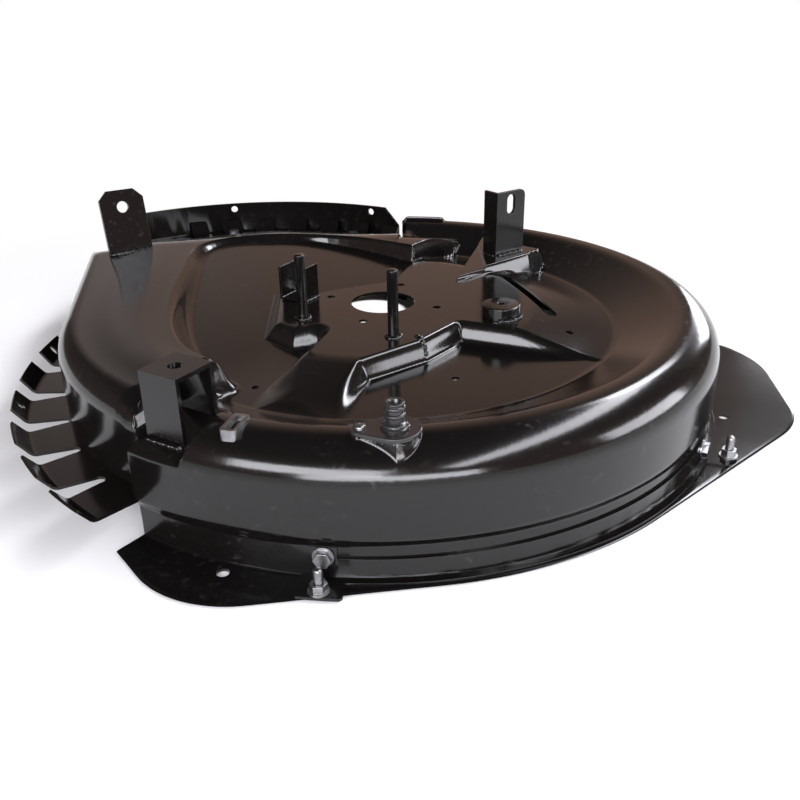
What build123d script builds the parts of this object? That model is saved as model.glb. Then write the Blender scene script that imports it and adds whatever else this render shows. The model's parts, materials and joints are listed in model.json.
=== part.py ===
from build123d import *
import os
from math import atan2, cos, degrees, radians, sin, sqrt, tan

# Ride-on mower cutting deck, one blade: a pressed steel pan with welded brackets and pins,
# a bolted rim stiffener, a bolted discharge guard and a plastic hose port.
# Millimetres. The Z axis is the blade spindle, z = 0 is the face the spindle housing bolts to,
# and azimuths are counted from +X towards +Y, seen from above.

# Sheet and main levels of the pan
sheet = 2.5
floor_drop = 20.0
crest_rise = 9.0
hood_rise = 14.0
pad_rise = 8.0
rim_drop = 108.0
rear_comb_drop = 70.0
side_comb_drop = 40.0
deep = -rim_drop - 60.0
high = 100.0

# Round part of the pan
floor_r = 250.0
crest_r = 312.0
wall_r = 357.0
joggle = 4.0
joggle_drop = 70.0
joggle_height = 6.0
crest_fillet = 36.0
rim_width = 13.0
skirt_r = wall_r - joggle

# Azimuths where the round wall stops, at the rear comb and at the side mouth
rear_end_az = 234.0
side_end_az = 85.0

# Spindle seat and the small holes of the pan
bore_r = 35.0
bolt_pcd = 124.0
bolt_hole_r = 4.5
bolt_turn_az = 71.0
small_hole_r = 4.0
small_hole_places = ((70.0, -164.0), (194.0, -75.0), (-118.0, -176.0))

# Raised star round the spindle
star_flat_r = 162.0
star_draft = 22.0
near_arm_heel = (82.7, -72.6)
near_arm_az = 329.0
left_arm_heel = (-12.7, -166.0)
left_arm_near_az = 261.7
left_arm_far_az = 241.5
star_elbow = (44.0, -122.0)
keeper_lobe = ((-66.0, -80.0), (-92.0, -92.0), (-124.0, -66.0), (-132.0, 56.0), (-74.0, 52.0))
star_far_edge = ((-43.0, 63.0), (4.0, 84.0), (22.0, 140.0), (50.0, 205.0))
slot_length = 134.0
slot_width = 14.0
slot_place = (164.0, 26.0)
slot_az = -73.6
pad_outline = ((86.0, 67.0), (181.0, 146.0), (200.0, 170.0), (130.0, 235.0), (100.0, 125.0))

# Hood over the discharge, with the side mouth
hood_wall_r = 342.0
hood_tangent_az = 191.0
hood_corner_fillet = 50.0
hood_roll = 24.0
# Falling roof towards the side comb: azimuth, distance of its start from the spindle axis, fall per length
roof_slopes = ((78.5, 217.0, 0.32), (110.4, 287.0, 0.28))
hood_edge_fillet = 6.0
mouth_centre = (-180.0, 147.0)
mouth_r = 270.0
mouth_end_az = 45.0
pocket_r = 240.0
pocket_far_y = 238.0
pocket_bend_x = -95.0
pocket_tip = (36.0, 180.0)
heel_run = 121.0
pocket_corner_fillet = 45.0
hood_end_az = 235.5

# Ramp of the pan towards the hood
ramp_rise_at_axis = 3.6
ramp_slope_x = -0.040
ramp_slope_y = 0.064

# Combs of the discharge edges
finger_tip = 20.0
finger_tip_angle = 52.0
finger_bend = 6.0
finger_slot = 11.0
finger_slot_mouth = 24.0
rear_comb_centre = (57.0, 6.5)
rear_fold_r = 437.0
rear_finger_count = 6
rear_finger_pitch = 9.65
rear_comb_start_az = 172.3
rear_slot_depth = 34.0
side_finger = 50.0
side_fold_r = mouth_r + side_finger
side_finger_count = 7
side_finger_pitch = 9.2
side_comb_start_az = 51.0
side_slot_depth = 40.0
rear_open_az = 171.6
rear_eye_fingers = (0, 2)
finger_eye_r = 4.5

# Wings of the rim flange
wings = ((-118.0, -283.0, 101.0), (342.0, -45.0, 106.0), (352.0, 45.0, 107.0))
wing_hole_r = 5.5
wing_hole_places = ((-129.0, -342.0), (365.0, -82.0))

# Hose port
port_az = 272.25
port_seat_r = 325.5
port_rise = 10.0
port_boss_margin = 4.0
port_flange_r = 21.0
port_ear_r = 8.0
port_ear_reach = 27.0
port_flange = 4.0
port_collar_r = 10.3
port_collar = 4.0
port_nipple_r = 7.8
port_nipple = 22.0
port_ridge_r = 8.4
port_bore_r = 4.9
port_hole_r = 9.0
port_screw_r = 4.6
port_screw_shank_r = 2.2

# Brackets and pins
pin_r = 5.5
pin_height = 70.0
right_pin_place = (11.5, -104.0)
left_pin_place = (-84.0, -47.0)
tab_place = (-320.0, 163.0)
tab_az = 31.7
tab_width = 55.0
tab_height = 78.0
tab_lean = 11.5
tab_plate = 5.0
tab_hole_r = 7.0
tab_hole_height = 57.0
tab_chamfer = 11.0
angle_place = (139.0, 138.0)
angle_az = 36.0
angle_wide_leaf = 46.0
angle_narrow_leaf = 24.0
angle_height = 78.0
angle_plate = 4.0
angle_slot_length = 24.0
angle_slot_width = 12.5
angle_slot_height = 62.0
angle_corner = 8.0
box_az = 238.5
box_inner_r = 293.5
box_depth = 43.5
box_outer_r = box_inner_r + box_depth
box_width = 41.0
box_top = 44.0
box_plate = 4.0
box_hole_r = 6.5
box_seat_half = 31.0
box_seat_drop = 3.5
box_seat_slope = 17.0
keeper_place = (-94.0, 20.0)
keeper_az = 60.0
keeper_leaf = 30.0
keeper_gap = 26.0
keeper_height = 38.0
keeper_plate = 3.0
idler_place = (125.0, -48.0)
idler_r = 20.0
idler_height = 13.0
idler_hole_r = 3.4
idler_hole_depth = 9.5
lug_place = (-113.5, -307.5)
lug_az = 74.0
lug_length = 30.0
lug_width = 14.0
lug_rise = 2.5
lug_rail = 3.0

# Rim stiffener, its bolts and studs
strip_start_az = 260.8
strip_end_az = 349.0
strip_height = 20.0
strip_leg = 10.0
strip_tab_height = 30.5
strip_tab_arc = 3.6
strip_ear_reach = 30.0
strip_ear_arc = 6.0
m8_r = 4.0
m8_clearance = 0.4
m8_across_flats = 13.0
m8_head = 5.5
m8_washer_r = 9.0
m8_washer = 1.6
m8_nut = 6.5
skirt_bolt = 18.0
skirt_bolts_at = ((262.6, -86.0), (331.0, -96.0))
stud_height = 24.0
stud_places = ((-49.0, -371.0), (339.0, -171.0))
seat_gap = 0.1

# Discharge guard
guard_clearance = 6.0
guard_plate = 3.0
guard_above_comb = 40.0
guard_leg = 46.0
guard_chamfer = 26.0
guard_hole_r = 5.0
guard_hole_drop = 9.0
guard_holes_at = (62.5, 100.7)
guard_start_az = 54.0
guard_end_az = 130.0
guard_bolt = 20.0
guard_bolt_fingers = (1, 5)


def polar(r, az, centre=(0, 0)):
    return (centre[0] + r * cos(radians(az)), centre[1] + r * sin(radians(az)))


def lifted(plan, low, high):
    """Upright prism over a plan, from one level to another."""
    return extrude(Pos(0, 0, low) * plan, high - low)


def polygon(points, inset=0.0):
    """Flat face with straight sides, each side pulled in by inset."""
    corners = [Vector(*point) for point in points]
    following = corners[1:] + corners[:1]
    turning = sum(a.X * b.Y - b.X * a.Y for a, b in zip(corners, following))
    side = inset if turning > 0 else -inset
    sides = [(b - a).normalized() for a, b in zip(corners, following)]
    inward = [Vector(-along.Y, along.X) for along in sides]
    pairs = zip(inward[-1:] + inward[:-1], inward)
    moved = [corner + (a + b) * (side / (1 + a.dot(b))) for corner, (a, b) in zip(corners, pairs)]
    return make_face(Polyline(*moved, close=True))


def shrunk(plan, inset):
    """Plan pulled in by the sheet's thickness for the inner side of the pressing."""
    return offset(plan, -inset, kind=Kind.INTERSECTION) if inset > 0 else plan


def wedge(r, start_az, end_az, centre=(0, 0)):
    """Flat sector about a centre, wide enough for any radius up to r."""
    steps = 8
    fan = [polar(2 * r, start_az + (end_az - start_az) * k / steps, centre) for k in range(steps + 1)]
    return polygon([centre] + fan) & (Pos(*centre) * Circle(r))


def band(inner_r, outer_r, start_az, end_az, low, high, centre=(0, 0)):
    """Bent bar of rectangular section about an upright axis."""
    section = Pos((inner_r + outer_r) / 2, (low + high) / 2) * Rectangle(outer_r - inner_r, high - low)
    bar = revolve(Plane.XZ * section, Axis.Z, end_az - start_az)
    return Pos(*centre) * Rot(0, 0, start_az) * bar


def drill(r, place, low=deep, top=high):
    return Pos(place[0], place[1], (low + top) / 2) * Cylinder(r, top - low)


def dome(inset):
    """Filled round pan, shrunk by inset: floor, ring, shoulder and wall as one turned form."""
    back = -90.0
    outline = Polyline(
        (back, -floor_drop),
        (floor_r, -floor_drop),
        (crest_r, crest_rise),
        (wall_r, crest_rise),
        (wall_r, -joggle_drop),
        (skirt_r, -joggle_drop - joggle_height),
        (skirt_r, deep),
        (back, deep),
        close=True,
    )
    face = make_face(outline)
    corners = (
        (crest_r, crest_rise, crest_fillet),
        (wall_r, crest_rise, crest_fillet),
    )
    for r, z, radius in corners:
        corner = face.vertices().sort_by_distance((r, z, 0))[0]
        face = fillet(corner, radius)
    face = shrunk(face, inset)
    half = face & (Pos(wall_r, deep / 2) * Rectangle(2 * wall_r, -2 * deep))
    trim = degrees(inset / wall_r)
    arc = 360 - rear_end_az + side_end_az - 2 * trim
    return Rot(0, 0, rear_end_az + trim) * revolve(Plane.XZ * half, Axis.Z, arc)


def floor_disc(inset):
    return lifted(Circle(floor_r + sheet - inset), deep, -floor_drop - inset)


def star(inset):
    """Raised star that stiffens the pan round the spindle, falling to the fold of the ring."""
    out_r = floor_r + 10
    ring_points = [polar(out_r, az) for az in (near_arm_az, 347, 8, 30, 52, 70)]
    foot = ring_points + list(reversed(star_far_edge)) + list(reversed(keeper_lobe))
    foot += [polar(out_r, left_arm_far_az), polar(out_r, left_arm_near_az)]
    foot += [left_arm_heel, star_elbow, near_arm_heel]
    taper = floor_drop * tan(radians(star_draft))
    low = Pos(0, 0, -floor_drop - inset) * polygon(foot, inset)
    high = Pos(0, 0, -inset) * polygon(foot, inset + taper)
    prism = loft([low, high], ruled=True)
    low_z = -floor_drop - inset
    far_r = out_r + 20
    cone_section = polygon(
        [(0, -inset), (star_flat_r, -inset), (floor_r, low_z), (far_r, low_z), (far_r, deep), (0, deep)]
    )
    cone = revolve(Plane.XZ * cone_section, Axis.Z)
    return prism & cone


def pad(inset):
    """Raised pad under the slotted angle."""
    return lifted(polygon(pad_outline, inset), -floor_drop - inset, pad_rise - inset)


def hood_corner():
    """Far left corner of the hood, where its straight side meets the round mouth."""
    start = Vector(*polar(hood_wall_r, hood_tangent_az))
    along = Vector(*polar(1, hood_tangent_az - 90))
    to_start = start - Vector(*mouth_centre)
    half = along.dot(to_start)
    reach = -half + sqrt(half**2 - to_start.dot(to_start) + mouth_r**2)
    return start + along * reach


def hood_plan():
    corner = hood_corner()
    corner_az = degrees(atan2(corner.Y - mouth_centre[1], corner.X - mouth_centre[0]))
    mouth_end = polar(mouth_r, mouth_end_az, mouth_centre)
    edges = [
        CenterArc((0, 0), hood_wall_r, hood_end_az, hood_tangent_az - hood_end_az),
        Line(polar(hood_wall_r, hood_tangent_az), (corner.X, corner.Y)),
        CenterArc(mouth_centre, mouth_r, corner_az, mouth_end_az - corner_az),
        Polyline(
            mouth_end,
            polar(heel_run, mouth_end_az - 90, mouth_end),
            pocket_tip,
            (pocket_bend_x, pocket_far_y),
            (-pocket_r, pocket_far_y),
            (-pocket_r, 0),
        ),
        CenterArc((0, 0), pocket_r, 180, hood_end_az - 180),
        Line(polar(pocket_r, hood_end_az), polar(hood_wall_r, hood_end_az)),
    ]
    plan = make_face(edges)
    rounded = ((corner, hood_corner_fillet), (Vector(-pocket_r, pocket_far_y), pocket_corner_fillet))
    for place, radius in rounded:
        plan = fillet(plan.vertices().sort_by_distance(place)[0], radius)
    return plan


def hood(inset):
    """Raised hood over the discharge with a rolled outer edge."""
    top = hood_rise - inset
    block = lifted(shrunk(hood_plan(), inset), deep, top)
    rim_edges = block.faces().sort_by(Axis.Z)[-1].edges()
    rolled = [edge for edge in rim_edges if all(on_hood_outline(end.center()) for end in edge.vertices())]
    block = fillet(rolled, hood_roll - inset)
    for az, start, fall in roof_slopes:
        block = split(block, bisect_by=roof_plane(az, start, fall, inset), keep=Keep.BOTTOM)
    return block


def roof_plane(az, start, fall, inset):
    """Plane that leaves the hood's top at a distance along an azimuth and falls towards the side comb."""
    x, y = polar(1, az)
    uphill = Vector(fall * x, fall * y, 1).normalized()
    edge = Vector(start * x, start * y, hood_rise)
    return Plane(origin=edge - uphill * inset, z_dir=uphill)


def on_hood_outline(place):
    """True on the hood's outer outline: round wall, straight side and mouth."""
    flat = Vector(place.X, place.Y)
    beside = flat.length > hood_wall_r - 3 * sheet and place.X < 0
    return beside or abs((flat - Vector(*mouth_centre)).length - mouth_r) < 3 * sheet


def ramp(inset):
    """Tilted ceiling of the pan that rises towards the hood."""
    under = 8.0
    bend = [polar(pocket_r + under, az) for az in (229, 212, 196, 180)]
    outline = [(-58, -72), polar(floor_r, left_arm_far_az)] + bend
    outline += [(-pocket_r - under, pocket_far_y + under), (pocket_bend_x, pocket_far_y + under)]
    outline += [(pocket_tip[0] + under, pocket_tip[1] + under), (30, 100), (-20, 50), (-60, 30)]
    block = lifted(polygon(outline, inset), deep, hood_rise - 2 * sheet)
    level = -floor_drop + ramp_rise_at_axis - inset
    slope = Plane(origin=(0, 0, level), z_dir=(-ramp_slope_x, -ramp_slope_y, 1))
    return split(block, bisect_by=slope, keep=Keep.BOTTOM)


def port_plan(margin):
    """Teardrop of the hose port: a round flange with one screw ear."""
    body = Circle(port_flange_r + margin)
    ear = Pos(-port_ear_reach, 0) * Circle(port_ear_r + margin)
    shape = make_hull((body + ear).edges())
    return Pos(*polar(port_seat_r, port_az)) * Rot(0, 0, port_az - 270) * shape


def port_boss(inset):
    return lifted(shrunk(port_plan(port_boss_margin), inset), -floor_drop - inset, port_rise - inset)


def box_seat(inset):
    """Room above the sloping seat that is pressed into the ring for the box bracket."""
    half = box_seat_half + inset
    tall = 2 * floor_drop
    room = Pos(wall_r / 2, 0, tall / 2) * Box(wall_r, 2 * half, tall)
    slope = Pos(box_inner_r, 0, -box_seat_drop - inset) * Rot(0, box_seat_slope, 0)
    return Rot(0, 0, box_az) * slope * Pos(-2 * sheet, 0, 0) * room


def pan_volume(inset):
    """Everything under the pan's upper face, shrunk by inset."""
    volume = dome(inset)
    for piece in (floor_disc, star, pad, hood, ramp, port_boss):
        volume += piece(inset)
    return volume - box_seat(inset)


def rim_flange():
    """Flat rim round the bottom edge with a wing at the left and a larger one at the right."""
    lobes = Circle(skirt_r + rim_width)
    for x, y, r in wings:
        lobes += Pos(x, y) * Circle(r)
    plan = make_hull(lobes.edges()) & wedge(2 * wall_r, rear_end_az, 360 + side_end_az)
    plan -= Circle(skirt_r - sheet / 2)
    return lifted(plan, -rim_drop - sheet, -rim_drop)


def comb(root_r, fold_r, level, slot_depth, start_az, pitch, count, eyes=()):
    """Row of fingers along a discharge edge, with upturned tips, turned about the Z axis."""
    rise = radians(finger_tip_angle)
    tip_r = fold_r + finger_tip * cos(rise)
    tip_z = level + finger_tip * sin(rise)
    outer_fold = fold_r + sheet * tan(rise / 2)
    section = polygon(
        [
            (root_r, level),
            (fold_r, level),
            (tip_r, tip_z),
            (tip_r + sheet * sin(rise), tip_z - sheet * cos(rise)),
            (outer_fold, level - sheet),
            (root_r, level - sheet),
        ]
    )
    for r, z, radius in ((fold_r, level, finger_bend), (outer_fold, level - sheet, finger_bend + sheet)):
        section = fillet(section.vertices().sort_by_distance((r, z, 0))[0], radius)
    gap_az = degrees(finger_slot_mouth / fold_r)
    row = revolve(Plane.XZ * section, Axis.Z, pitch * count - gap_az)
    row = Rot(0, 0, start_az + gap_az / 2) * row
    cutter = lifted(finger_gap(fold_r - slot_depth, fold_r, tip_r), level - 4 * sheet, tip_z + 4 * sheet)
    for k in range(1, count):
        row -= Rot(0, 0, start_az + k * pitch) * cutter
    middle = Plane(origin=((fold_r + tip_r) / 2, 0, (level + tip_z) / 2), z_dir=(-sin(rise), 0, cos(rise)))
    eye = middle * Cylinder(finger_eye_r, 6 * sheet)
    for k in eyes:
        row -= Rot(0, 0, start_az + (k + 0.5) * pitch) * eye
    return row


def finger_gap(slot_root, fold_r, tip_r):
    """Plan of the gap between two fingers: round at the root and wider at the mouth."""
    half = finger_slot / 2
    end_r = tip_r + finger_slot
    end_half = half + (finger_slot_mouth / 2 - half) * (end_r - slot_root) / (fold_r - slot_root)
    gap = polygon([(slot_root, -half), (end_r, -end_half), (end_r, end_half), (slot_root, half)])
    return gap + Pos(slot_root, 0) * Circle(half)


def rear_comb():
    """Comb on a wider arc than the hood's wall, so that its fingers lengthen towards the rim."""
    root_r = hood_wall_r - Vector(*rear_comb_centre).length
    row = comb(
        root_r,
        rear_fold_r,
        -rear_comb_drop,
        rear_slot_depth,
        rear_comb_start_az,
        rear_finger_pitch,
        rear_finger_count,
        rear_eye_fingers,
    )
    return Pos(*rear_comb_centre) * row


def side_comb():
    row = comb(
        mouth_r - sheet / 2,
        side_fold_r,
        -side_comb_drop,
        side_slot_depth,
        side_comb_start_az,
        side_finger_pitch,
        side_finger_count,
    )
    return Pos(*mouth_centre) * row


def discharge_openings():
    """Room below the two combs."""
    under = -rim_drop - 2 * sheet
    rear_top = -rear_comb_drop - sheet
    rear = band(hood_wall_r - 40, hood_wall_r + 30, rear_open_az, rear_end_az - 0.5, under, rear_top)
    side_end = side_comb_start_az + side_finger_count * side_finger_pitch
    side = band(
        mouth_r - 40, mouth_r + 30, side_comb_start_az, side_end, under, -side_comb_drop - sheet, mouth_centre
    )
    return [rear, side]


def pan_holes():
    cutters = [drill(bore_r, (0, 0))]
    for k in range(4):
        cutters.append(drill(bolt_hole_r, polar(bolt_pcd / 2, bolt_turn_az + 90 * k)))
    for place in small_hole_places:
        cutters.append(drill(small_hole_r, place))
    for place in wing_hole_places:
        cutters.append(drill(wing_hole_r, place))
    for place in stud_places:
        cutters.append(drill(m8_r, place))
    cutters.append(drill(port_hole_r, polar(port_seat_r, port_az), -floor_drop))
    cutters.append(drill(port_screw_shank_r + m8_clearance, port_ear_place(), -floor_drop))
    slot = Pos(*slot_place) * Rot(0, 0, slot_az) * SlotOverall(slot_length, slot_width)
    cutters.append(lifted(slot, deep, pad_rise))
    for az, z in skirt_bolts_at:
        cutters.append(radial(az, z) * Cylinder(m8_r + m8_clearance, 4 * skirt_bolt))
    for cutter in guard_bolt_cutters():
        cutters.append(cutter)
    return cutters


def port_ear_place():
    x, y = polar(port_seat_r, port_az)
    dx, dy = polar(port_ear_reach, port_az - 90)
    return (x + dx, y + dy)


def radial(az, z, r=None):
    """Location on the skirt whose Z axis points straight out of the pan."""
    x, y = polar(skirt_r if r is None else r, az)
    return Plane(origin=(x, y, z), x_dir=polar(1, az + 90), z_dir=polar(1, az)).location


def guard_bolt_places():
    step = [side_comb_start_az + (k + 0.5) * side_finger_pitch for k in guard_bolt_fingers]
    return [polar((mouth_r + side_fold_r) / 2 + finger_slot / 2, az, mouth_centre) for az in step]


def guard_bolt_cutters():
    low = -side_comb_drop - 6 * sheet
    top = -side_comb_drop + 2 * sheet
    return [drill(m8_r + m8_clearance, place, low, top) for place in guard_bolt_places()]


def pan(outer):
    """The pressing: one sheet, with its rim, combs, openings and holes."""
    inner = pan_volume(sheet)
    shell = outer - inner
    slab = 4 * rim_drop
    shell &= Pos(0, 0, -rim_drop - sheet + slab / 2) * Box(4 * wall_r, 4 * wall_r, slab)
    shell += [rim_flange(), rear_comb() - inner, side_comb()]
    shell -= discharge_openings()
    shell -= pan_holes()
    return shell


def hexagon(flats, height):
    return extrude(RegularPolygon(flats / 2, 6, major_radius=False), height)


def bolt(length):
    """Flanged hexagon bolt: head above z = 0, shank below."""
    head = lifted(Circle(m8_washer_r), 0, m8_washer)
    head += Pos(0, 0, m8_washer / 2) * hexagon(m8_across_flats, m8_head + m8_washer / 2)
    shank = chamfer(Cylinder(m8_r, length).edges().sort_by(Axis.Z)[0], m8_clearance * 2)
    return head + Pos(0, 0, -length / 2) * shank


def flange_nut():
    """Flanged hexagon nut standing on z = 0."""
    body = lifted(Circle(m8_washer_r), 0, m8_washer)
    body += hexagon(m8_across_flats, m8_nut + m8_washer)
    return body - drill(m8_r + m8_clearance / 2, (0, 0), -1, 2 * m8_nut)


def group(name, pieces):
    """One node holding several separate solids."""
    node = Compound(children=[piece.solid() for piece in pieces])
    node.label = name
    return node


def rim_stiffener():
    """Angle-section strip along the skirt, with an ear under each stud's nut and one taller tab."""
    low = -rim_drop
    tab_end_az = strip_start_az + strip_tab_arc
    bar = band(skirt_r, skirt_r + sheet, strip_start_az, strip_end_az, low, low + strip_height)
    bar += band(skirt_r, skirt_r + strip_leg, strip_start_az, strip_end_az, low, low + sheet)
    bar += band(skirt_r, skirt_r + sheet, strip_start_az, tab_end_az, low, low + strip_tab_height)
    for x, y in stud_places:
        from_az = degrees(atan2(y, x)) - strip_ear_arc / 2
        ear = band(skirt_r, skirt_r + strip_ear_reach, from_az, from_az + strip_ear_arc, low, low + sheet)
        bar += fillet(ear.edges().filter_by(Axis.Z).group_by(SortBy.DISTANCE)[-1], m8_r)
    for place in stud_places:
        bar -= drill(m8_r + m8_clearance, place)
    for az, z in skirt_bolts_at:
        bar -= radial(az, z) * Cylinder(m8_r + m8_clearance, 4 * skirt_bolt)
    return bar


def skirt_bolts():
    return [radial(az, z, skirt_r + sheet + seat_gap) * bolt(skirt_bolt) for az, z in skirt_bolts_at]


def skirt_nuts():
    inside = skirt_r - sheet - 2 * seat_gap
    return [radial(az, z, inside) * Rot(180, 0, 0) * flange_nut() for az, z in skirt_bolts_at]


def wing_studs():
    """Studs set flush into the rim."""
    studs = []
    for x, y in stud_places:
        stud = lifted(Circle(m8_r), -rim_drop - sheet, -rim_drop + stud_height)
        studs.append(Pos(x, y) * chamfer(stud.edges().sort_by(Axis.Z)[-1], m8_clearance * 2))
    return studs


def wing_nuts_flanged():
    return [Pos(x, y, -rim_drop + sheet) * flange_nut() for x, y in stud_places]


def discharge_guard():
    """Curved guard plate behind the side comb, on a leg bolted under the fingers."""
    inner = side_fold_r + finger_tip * cos(radians(finger_tip_angle)) + guard_clearance
    outer = inner + guard_plate
    low = -side_comb_drop - sheet - guard_plate
    top = -side_comb_drop + guard_above_comb
    plate = band(inner, outer, guard_start_az, guard_end_az, low, top)
    leg = band(outer - guard_leg, outer, guard_start_az, guard_end_az, low, low + guard_plate)
    slant = polygon([(-1, top - guard_chamfer), (guard_chamfer, top + 1), (-1, top + 1)])
    plate -= Rot(0, 0, guard_start_az) * extrude(Plane.YZ * slant, outer + guard_chamfer)
    guard = plate + leg
    for az in guard_holes_at:
        guard -= radial(az, top - guard_hole_drop, inner) * Cylinder(guard_hole_r, 8 * guard_plate)
    guard = Pos(*mouth_centre) * guard
    return guard - guard_bolt_cutters()


def guard_bolts():
    return [Pos(x, y, -side_comb_drop) * bolt(guard_bolt) for x, y in guard_bolt_places()]


def guard_nuts():
    seat = -side_comb_drop - sheet - guard_plate
    return [Pos(x, y, seat) * Rot(180, 0, 0) * flange_nut() for x, y in guard_bolt_places()]


def hanger_tab():
    """Plate on the hood that leans back, away from the near side."""
    buried = tab_plate
    plate = Pos(0, (tab_height - buried) / 2) * Rectangle(tab_width, tab_height + buried)
    plate = chamfer(plate.vertices().group_by(Axis.Y)[-1], tab_chamfer)
    plate -= Pos(0, tab_hole_height) * Circle(tab_hole_r)
    solid = Rot(-tab_lean, 0, 0) * extrude(Plane.XZ * plate, tab_plate / 2, both=True)
    placed = Pos(*tab_place, hood_rise) * Rot(0, 0, tab_az) * solid
    return split(placed, bisect_by=Plane.XY.offset(hood_rise), keep=Keep.TOP)


def slotted_angle():
    wide = Rectangle(angle_wide_leaf, angle_height)
    wide = Pos(angle_wide_leaf / 2, angle_height / 2) * wide
    wide = fillet(wide.vertices().sort_by_distance((angle_wide_leaf, angle_height, 0))[0], angle_corner)
    slot = Rot(0, 0, 90) * SlotOverall(angle_slot_length, angle_slot_width)
    wide -= Pos(angle_wide_leaf / 2, angle_slot_height) * slot
    leaf = extrude(Plane.XZ * wide, -angle_plate)
    side = Box(angle_plate, angle_narrow_leaf, angle_height)
    side = Pos(angle_plate / 2, angle_narrow_leaf / 2, angle_height / 2) * side
    return Pos(*angle_place, pad_rise) * Rot(0, 0, angle_az) * (leaf + side)


def box_bracket(outer):
    """Inverted channel whose two legs stand on the slope and the shoulder of the ring."""
    tall = box_top + floor_drop + joggle_drop
    shape = Box(box_depth, box_width, tall)
    shape -= Pos(0, 0, -box_plate) * Box(box_depth - 2 * box_plate, 2 * box_width, tall)
    shape -= drill(box_hole_r, (0, 0))
    middle = polar((box_inner_r + box_outer_r) / 2, box_az)
    placed = Pos(*middle, box_top - tall / 2) * Rot(0, 0, box_az) * shape
    return highest(placed - outer)


def highest(shape):
    return shape.solids().sort_by(Axis.Z)[-1]


def belt_pin(place):
    pin = lifted(Circle(pin_r), 0, pin_height)
    return Pos(*place) * chamfer(pin.edges().sort_by(Axis.Z)[-1], pin_r / 5)


def belt_keeper():
    wide = keeper_gap + 2 * keeper_plate
    channel = Box(keeper_leaf, wide, keeper_height)
    channel -= Pos(0, 0, keeper_plate) * Box(2 * keeper_leaf, keeper_gap, keeper_height)
    return Pos(*keeper_place, keeper_height / 2) * Rot(0, 0, keeper_az) * channel


def idler_boss():
    """Welded boss with a blind tapped hole."""
    boss = lifted(Circle(idler_r), 0, idler_height)
    boss = chamfer(boss.edges().sort_by(Axis.Z)[-1], 1)
    return Pos(*idler_place) * (boss - drill(idler_hole_r, (0, 0), idler_height - idler_hole_depth))


def spring_lug(outer):
    """Small flat eye that lies on the crest of the ring, for the hook of a spring."""
    frame = RectangleRounded(lug_length, lug_width, lug_rail)
    frame -= Rectangle(lug_length - 2 * lug_rail, lug_width - 2 * lug_rail)
    eye = lifted(frame, -floor_drop, crest_rise + lug_rise)
    return highest(Pos(*lug_place) * Rot(0, 0, lug_az) * eye - outer)


def port_body():
    seat = port_rise
    body = lifted(port_plan(0), seat, seat + port_flange)
    middle = polar(port_seat_r, port_az)
    turned = lifted(Circle(port_hole_r - m8_clearance), seat - 4 * sheet, seat + port_flange)
    turned += lifted(Circle(port_collar_r), seat, seat + port_flange + port_collar)
    turned += lifted(Circle(port_nipple_r), seat, seat + port_flange + port_nipple)
    for share in (0.45, 0.75):
        level = seat + port_flange + port_nipple * share
        turned += lifted(Circle(port_ridge_r), level, level + port_flange / 2)
    body += Pos(*middle) * turned
    body -= drill(port_bore_r, middle)
    return body - drill(port_screw_shank_r + m8_clearance, port_ear_place())


def port_screw():
    top = port_rise + port_flange
    head = lifted(Circle(port_screw_r), top, top + port_screw_r * 0.7)
    head = chamfer(head.edges().sort_by(Axis.Z)[-1], port_screw_r * 0.4)
    shank = lifted(Circle(port_screw_shank_r), port_rise - 5 * sheet, top)
    return Pos(*port_ear_place()) * (head + shank)


os.makedirs("parts", exist_ok=True)
outer = pan_volume(0)
nodes = {
    "deck_shell": pan(outer),
    "rim_stiffener": rim_stiffener(),
    "skirt_bolts": group("skirt_bolts", skirt_bolts()),
    "skirt_nuts": group("skirt_nuts", skirt_nuts()),
    "wing_studs": group("wing_studs", wing_studs()),
    "wing_stud_nuts": group("wing_stud_nuts", wing_nuts_flanged()),
    "discharge_guard": discharge_guard(),
    "guard_bolts": group("guard_bolts", guard_bolts()),
    "guard_nuts": group("guard_nuts", guard_nuts()),
    "hanger_tab": hanger_tab(),
    "slotted_angle": slotted_angle(),
    "box_bracket": box_bracket(outer),
    "right_belt_pin": belt_pin(right_pin_place),
    "left_belt_pin": belt_pin(left_pin_place),
    "belt_keeper": belt_keeper(),
    "idler_boss": idler_boss(),
    "spring_lug": spring_lug(outer),
    "hose_port": port_body(),
    "hose_port_screw": port_screw(),
}
for name, node in nodes.items():
    export_step(node, "parts/" + name + ".step")
    box = node.bounding_box()
    print(name, node.is_valid, len(node.solids()), round(node.volume), box.min, box.max)
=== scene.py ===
import json
import math
import bmesh
import bpy
import numpy as np
from mathutils import Matrix, Vector, geometry


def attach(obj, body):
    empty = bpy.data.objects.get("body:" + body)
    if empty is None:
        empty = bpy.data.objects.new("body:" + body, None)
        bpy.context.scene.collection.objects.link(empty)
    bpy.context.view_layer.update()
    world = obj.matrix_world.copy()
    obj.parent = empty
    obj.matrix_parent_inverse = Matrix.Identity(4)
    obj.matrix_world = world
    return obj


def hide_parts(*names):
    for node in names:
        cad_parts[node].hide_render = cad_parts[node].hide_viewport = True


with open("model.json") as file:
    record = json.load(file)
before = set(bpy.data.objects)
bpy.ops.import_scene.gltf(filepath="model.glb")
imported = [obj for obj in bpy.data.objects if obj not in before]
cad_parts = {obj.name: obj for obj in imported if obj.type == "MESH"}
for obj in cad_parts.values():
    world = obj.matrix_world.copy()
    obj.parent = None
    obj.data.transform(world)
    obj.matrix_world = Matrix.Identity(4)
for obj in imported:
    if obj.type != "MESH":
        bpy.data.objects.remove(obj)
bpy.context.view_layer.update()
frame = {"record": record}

# Sizes are in millimetres and angles in degrees, as in the part's source. Meshes are made in metres.
MM = 0.001
CLOSE = 1e-6  # metres: points nearer than this become one

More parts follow.
